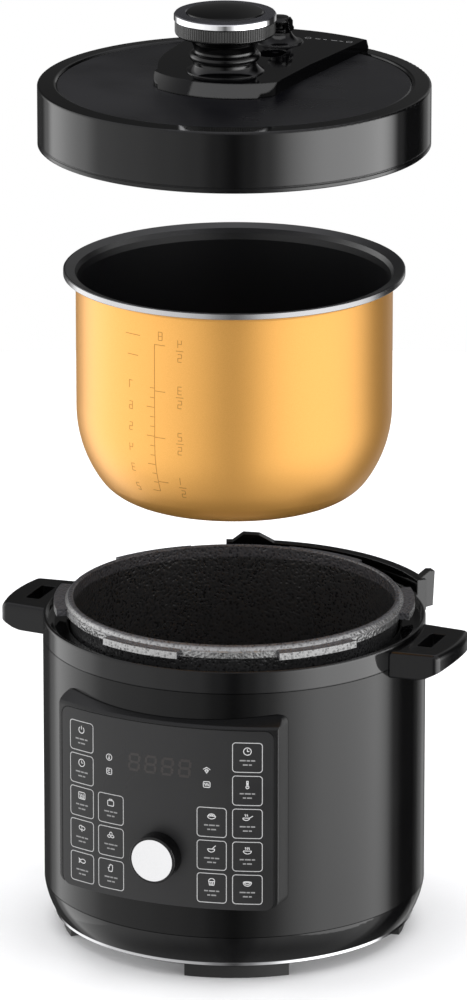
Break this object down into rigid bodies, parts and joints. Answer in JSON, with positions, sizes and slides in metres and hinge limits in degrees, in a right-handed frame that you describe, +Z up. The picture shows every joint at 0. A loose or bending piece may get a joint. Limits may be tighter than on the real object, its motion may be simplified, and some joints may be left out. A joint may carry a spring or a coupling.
{
  "type": "electric pressure cooker",
  "caption": "Electric pressure cooker taken apart: drum body with front panel, knob and side handles, lift-out inner pot, and twist-lock lid with round grip and steam valve.",
  "frame": {"origin": "on the surface the cooker stands on, at the centre of its round body and of its footprint", "axes": "+Z up along the body, -Y towards the control panel, +X towards the right handle"},
  "size_m": [0.3722, 0.3404, 0.7337],
  "materials": {
    "black_gloss": "glossy",
    "black_satin": "satin",
    "housing_paint": "semi-gloss charcoal",
    "panel_plastic": "satin charcoal",
    "panel_print": "satin, printed",
    "enamel": "hammered black enamel",
    "plate_alloy": "machined",
    "pot_alloy": "gold satin outside, black non-stick inside",
    "steel": "brushed",
    "lid_alloy": "satin",
    "chrome": "polished",
    "knob_silver": "spun",
    "bezel_grey": "satin metallic grey",
    "silicone": "translucent grey silicone",
    "foot_rubber": "matte",
    "board": "circuit board",
    "brass_pin": "bright",
    "cup_clear": "smoked"
  },
  "bodies": {
    "cooker": {"bottom_shell": "black_gloss", "feet": "foot_rubber", "base_screws": "steel", "outer_housing": "housing_paint", "top_collar": "black_gloss", "side_handle_right": "black_satin", "side_handle_left": "black_satin", "rear_guard": "black_gloss", "outer_pot": "enamel", "pot_supports": "steel", "heating_plate": "plate_alloy", "heating_element": "steel", "sensor_holder": "steel", "panel_frame": "panel_plastic", "panel_face": "panel_print", "control_board": "board", "display_module": "black_satin", "encoder": "black_satin", "power_board": "board", "power_inlet": "black_satin", "inlet_pins": "brass_pin", "cup_rails": "black_satin"},
    "knob": {"control_knob": "black_gloss", "control_knob_cap": "knob_silver", "encoder_shaft": "steel"},
    "sensor": {"sensor_button": "lid_alloy"},
    "cup": {"condensation_cup": "cup_clear"},
    "pot": {"inner_pot": "pot_alloy"},
    "seal": {"sealing_ring": "silicone"},
    "lid": {"lid_cover": "black_gloss", "lid_disc": "black_satin", "lid_plate": "lid_alloy", "lid_posts": "black_satin", "lid_screws": "steel", "seal_rack": "steel", "lid_bar": "black_gloss", "lid_grip": "black_gloss", "grip_chrome_ring": "chrome", "grip_bezel": "bezel_grey", "grip_dome": "black_gloss", "grip_screw": "steel", "vent_pipe": "steel", "vent_guard": "steel"},
    "valve": {"steam_valve": "black_gloss"},
    "float": {"float_pin": "steel", "float_cap": "silicone"}
  },
  "joints": [
    {"name": "pot_lift", "type": "slide", "parent": "cooker", "child": "pot", "axis": [0, 0, 1], "range_m": [-0.2576, 0]},
    {"name": "lid_lift", "type": "slide", "parent": "pot", "child": "seal", "axis": [0, 0, 1], "range_m": [-0.1179, 0]},
    {"name": "lid_turn", "type": "hinge", "parent": "seal", "child": "lid", "pos_m": [0, 0, 0.65], "axis": [0, 0, 1], "range_deg": [-30, 0]},
    {"name": "steam_turn", "type": "hinge", "parent": "lid", "child": "valve", "pos_m": [-0.0024, 0.099, 0.69], "axis": [0, 0, 1], "range_deg": [0, 40]},
    {"name": "float_rise", "type": "slide", "parent": "lid", "child": "float", "axis": [0, 0, 1], "range_m": [0, 0.004]},
    {"name": "knob_turn", "type": "hinge", "parent": "cooker", "child": "knob", "pos_m": [0, -0.16, 0.1045], "axis": [0, -1, 0], "continuous": true},
    {"name": "sensor_press", "type": "slide", "parent": "cooker", "child": "sensor", "axis": [0, 0, 1], "range_m": [-0.004, 0], "stiffness_N_per_m": 600, "springref_m": 0.002},
    {"name": "cup_pull", "type": "slide", "parent": "cooker", "child": "cup", "axis": [0, 0, -1], "range_m": [0, 0.045]}
  ]
}
